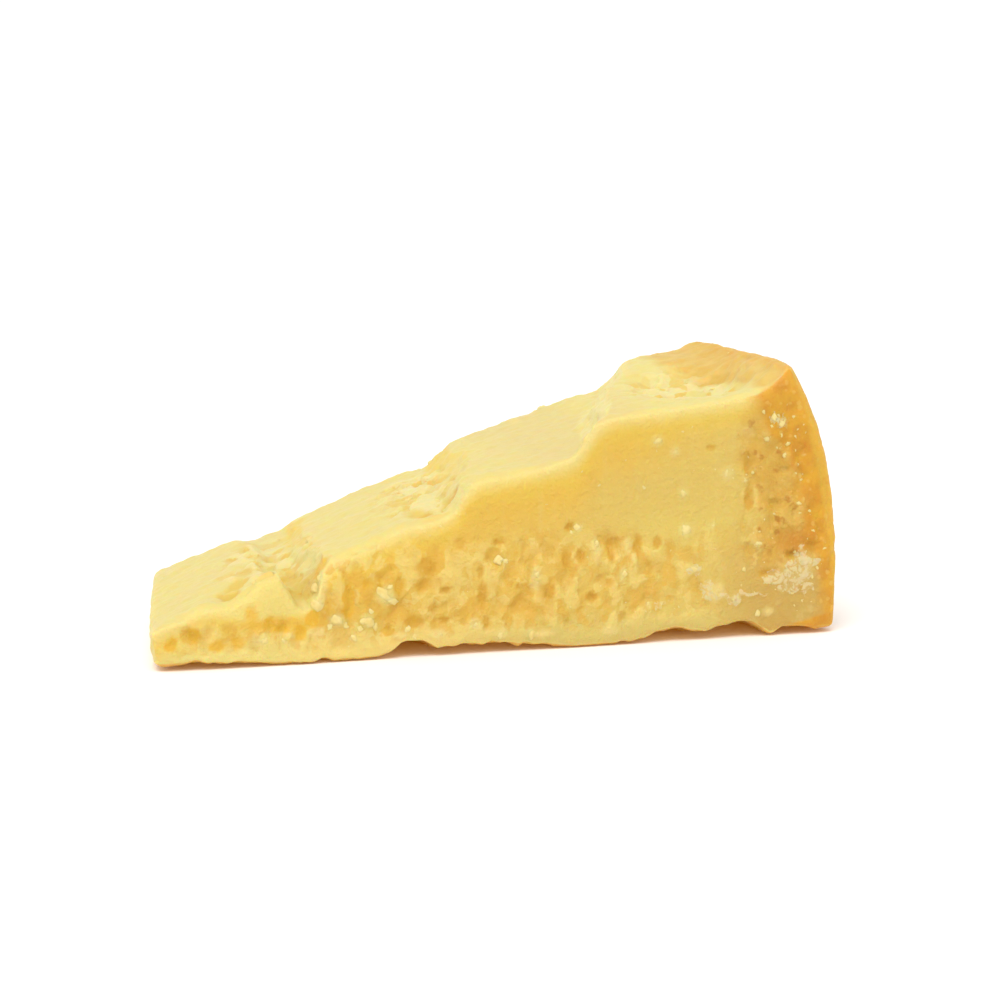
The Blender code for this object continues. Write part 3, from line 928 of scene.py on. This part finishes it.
# ---------------------------------------------------------------------------------------------
# The crystals and crumbs: hard pale grains that ripen in the paste and stand out of the cut and
# split faces where the knife passed, and crumbs of the same curd that broke off and stuck on.
# ---------------------------------------------------------------------------------------------

# Crumbs stuck in the torn places, in millimetres: x, z (or y on the split top) and radius.
FRONT_CRUMBS = (
    (-39.5, 10.6, 2.6),
    (-37.6, 9.0, 1.7),
    (-41.4, 8.6, 1.2),
    (-38.6, 13.0, 1.2),
    (-47.6, 11.0, 2.5),
    (-45.0, 9.4, 1.8),
    (-49.8, 9.6, 1.5),
    (-43.2, 6.4, 1.4),
    (-53.0, 15.8, 2.0),
    (-52.4, 19.2, 1.8),
    (-51.6, 22.2, 1.4),
    (-34.8, 17.0, 2.6),
    (-32.8, 15.4, 1.8),
    (-33.4, 19.2, 1.3),
    (-3.8, 24.6, 2.2),
    (-1.8, 24.2, 1.6),
    (18.0, 32.5, 1.3),
    (16.4, 31.4, 0.7),
    (51.0, 20.0, 1.2),
    (74.6, 60.4, 1.3),
    (77.0, 58.8, 1.4),
    (76.2, 61.0, 0.8),
    (70.0, 6.6, 1.5),
    (-66.4, 7.0, 1.1),
    (-61.6, 6.8, 0.9),
    (-29.0, 7.6, 1.6),
    (-26.8, 5.6, 1.3),
    (-10.4, 8.0, 1.2),
    (-3.6, 4.8, 1.2),
    (6.4, 20.6, 1.3),
    (23.4, 28.0, 1.3),
    (31.0, 19.6, 1.1),
)
SPLIT_CRUMBS = (
    (-24.0, 8.0, 2.4),
    (-20.6, 2.0, 1.9),
    (-18.8, -4.0, 2.2),
    (-15.0, -1.0, 1.5),
    (-17.8, 12.0, 1.4),
    (-27.6, 4.0, 1.4),
    (-47.2, -4.0, 1.6),
    (-37.0, 0.0, 1.2),
    (-6.0, 36.0, 2.2),
    (-2.0, 38.0, 2.0),
    (3.0, 38.5, 1.6),
    (4.0, 24.0, 1.0),
    (20.0, 37.0, 2.0),
    (24.5, 38.4, 2.6),
    (28.5, 38.0, 2.4),
    (31.5, 35.0, 1.8),
    (36.0, 37.0, 1.6),
    (66.0, 4.0, 1.1),
    (68.0, -10.0, 1.1),
)

# How uneven the lumps' sides are, how much of the given radius each has, how far each is sunk
# into the paste, all as shares of the radius, and what is the same all over them.
CRYSTAL_UNEVENNESS, CRUMB_UNEVENNESS = 0.2, 0.34
CRYSTAL_SIZE, CRUMB_SIZE = 0.8, 0.9
CRYSTAL_SINK, CRUMB_SINK = 0.46, 0.36
CRYSTAL_LOOK = {
    "Roughness": 0.5,
    "Specular IOR Level": 0.4,
    "Subsurface Weight": 0.4,
    "Subsurface Radius": (1.0, 0.75, 0.35),
    "Subsurface Scale": 0.001,
}
CRUMB_LOOK = {**CRYSTAL_LOOK, "Roughness": 0.6, "Subsurface Weight": 0.5}

# The least and the greatest length, width and thickness of a lump, as shares of its radius.
LUMP_REACHES = ((0.85, 1.2), (0.75, 1.0), (0.5, 0.7))

# Where loose lumps may lie: from the tip to the rind, up the cut faces and over the split top.
TIP_X, RIND_X = -92.0, 90.0
CUT_HEIGHTS = (4.0, 72.0)
SPLIT_HALF_WIDTH = 38.0

# How high above, and how far to the side, a lump's way to the cheese starts.
CLEAR_ABOVE, CLEAR_BESIDE = 120.0, 80.0

bpy.context.view_layer.update()
chance = random.Random(11)


def grain_shape(name, unevenness, seed):
    """A small closed lump of radius one, with uneven sides."""
    bpy.ops.object.select_all(action="DESELECT")
    bpy.ops.mesh.primitive_ico_sphere_add(subdivisions=2, radius=1.0)
    shape = bpy.context.object
    shape.name = name
    bpy.ops.object.mode_set(mode="EDIT")
    bpy.ops.mesh.select_all(action="SELECT")
    bpy.ops.transform.vertex_random(offset=unevenness, uniform=1.0, seed=seed)
    bpy.ops.object.mode_set(mode="OBJECT")
    shape.data.shade_smooth()
    return shape


def stuck_on(shapes, spots, sink, name):
    """One piece of many lumps, copies of the shapes, each sunk in by a share of its radius."""
    copies = []
    for place, outward, radius in filter(None, spots):
        lump = shapes[chance.randrange(len(shapes))].copy()
        lump.data = lump.data.copy()
        bpy.context.scene.collection.objects.link(lump)
        turn = outward.to_track_quat("Z", "Y").to_matrix().to_4x4()
        spin = Matrix.Rotation(chance.uniform(0, math.tau), 4, "Z")
        size = Matrix.Diagonal([radius * chance.uniform(*reach) for reach in LUMP_REACHES] + [1.0])
        shift = Matrix.Translation(place - outward * radius * sink)
        lump.data.transform(shift @ turn @ spin @ size)
        copies.append(lump)
    bpy.ops.object.select_all(action="DESELECT")
    for lump in copies:
        lump.select_set(True)
    bpy.context.view_layer.objects.active = copies[0]
    bpy.ops.object.join()
    piece = bpy.context.object
    piece.name = name
    stay_in_solid(piece)
    return piece


def on_face(x, height_or_y, radius, face):
    """A lump's place, outward direction and radius on a face, in metres, or None beside it."""
    if face == "top":
        start, heading = Vector((x, height_or_y, CLEAR_ABOVE)), Vector((0, 0, -1))
    elif face == "front":
        start, heading = Vector((x, -CLEAR_BESIDE, height_or_y)), Vector((0, 1, 0))
    else:
        start, heading = Vector((x, CLEAR_BESIDE, height_or_y)), Vector((0, -1, 0))
    found, place, outward, _ = paste.ray_cast(start * MILLIMETRE, heading)
    if not found:
        return None
    return place, outward.lerp(-heading, 0.5).normalized(), radius * MILLIMETRE


def scattered(count, faces, smallest, largest, evenness=0.5):
    """Random places, as on_face gives them; an evenness below 1 crowds them near the rind."""
    spots = []
    while len(spots) < count:
        x = TIP_X + (RIND_X - TIP_X) * chance.random() ** evenness
        face = faces[chance.randrange(len(faces))]
        if face == "top":
            across = chance.uniform(-SPLIT_HALF_WIDTH, SPLIT_HALF_WIDTH)
        else:
            across = chance.uniform(*CUT_HEIGHTS)
        radius = smallest + (largest - smallest) * chance.random() ** 2
        spot = on_face(x, across, radius, face)
        if spot is not None:
            spots.append(spot)
    return spots


def pale_finish(name, look, pale, warm):
    """Pale waxy grain, a little warmer in patches, that lets some light in."""
    finish, shader, place = new_finish(name, look)
    spot = place.scaled(PER_METRE)
    patches = spot.noise(2.4, 3.0, 3.0).rise(-0.7, 0.9)
    blend(patches, pale, warm).into(shader.inputs["Base Color"])
    bump = {"Strength": 0.4, "Distance": 0.0001, "Height": spot.noise(0.35, 2.0, 5.0)}
    place.node("ShaderNodeBump", {}, bump).into(shader.inputs["Normal"])
    return finish


crystal_shapes = [
    grain_shape(f"crystal_{seed}", CRYSTAL_UNEVENNESS, seed) for seed in range(1, 4)
]
crystal_spots = [on_face(x, z, radius * CRYSTAL_SIZE, "front") for x, z, radius in FRONT_CRYSTALS]
crystal_spots += scattered(60, ("front", "rear"), 0.3, 0.8, evenness=0.3)
crystal_spots += scattered(60, ("rear",), 0.4, 1.6)
crystal_spots += scattered(45, ("front",), 0.35, 0.9, evenness=0.12)
crystal_spots += scattered(50, ("top",), 0.3, 0.6)
crystals = stuck_on(crystal_shapes, crystal_spots, CRYSTAL_SINK, "ripened_crystals")
crystals.data.materials.append(
    pale_finish("crystal_grain", CRYSTAL_LOOK, tint(240, 219, 142), tint(236, 208, 122))
)
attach(crystals, "root")

crumb_shapes = [grain_shape(f"crumb_{seed}", CRUMB_UNEVENNESS, seed) for seed in range(4, 8)]
for shape in crumb_shapes:
    bpy.context.view_layer.objects.active = shape
    apply_modifier(shape, "SUBSURF", "worn_sides", levels=1)
crumb_spots = [on_face(x, z, radius * CRUMB_SIZE, "front") for x, z, radius in FRONT_CRUMBS]
crumb_spots += [on_face(x, y, radius, "top") for x, y, radius in SPLIT_CRUMBS]
crumb_spots += scattered(30, ("front", "rear", "rear", "top"), 0.3, 0.9, evenness=0.8)
crumbs = stuck_on(crumb_shapes, crumb_spots, CRUMB_SINK, "curd_crumbs")
crumbs.data.materials.append(
    pale_finish("crumb_curd", CRUMB_LOOK, tint(243, 223, 150), tint(239, 209, 122))
)
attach(crumbs, "root")

for shape in crystal_shapes + crumb_shapes:
    bpy.data.objects.remove(shape)
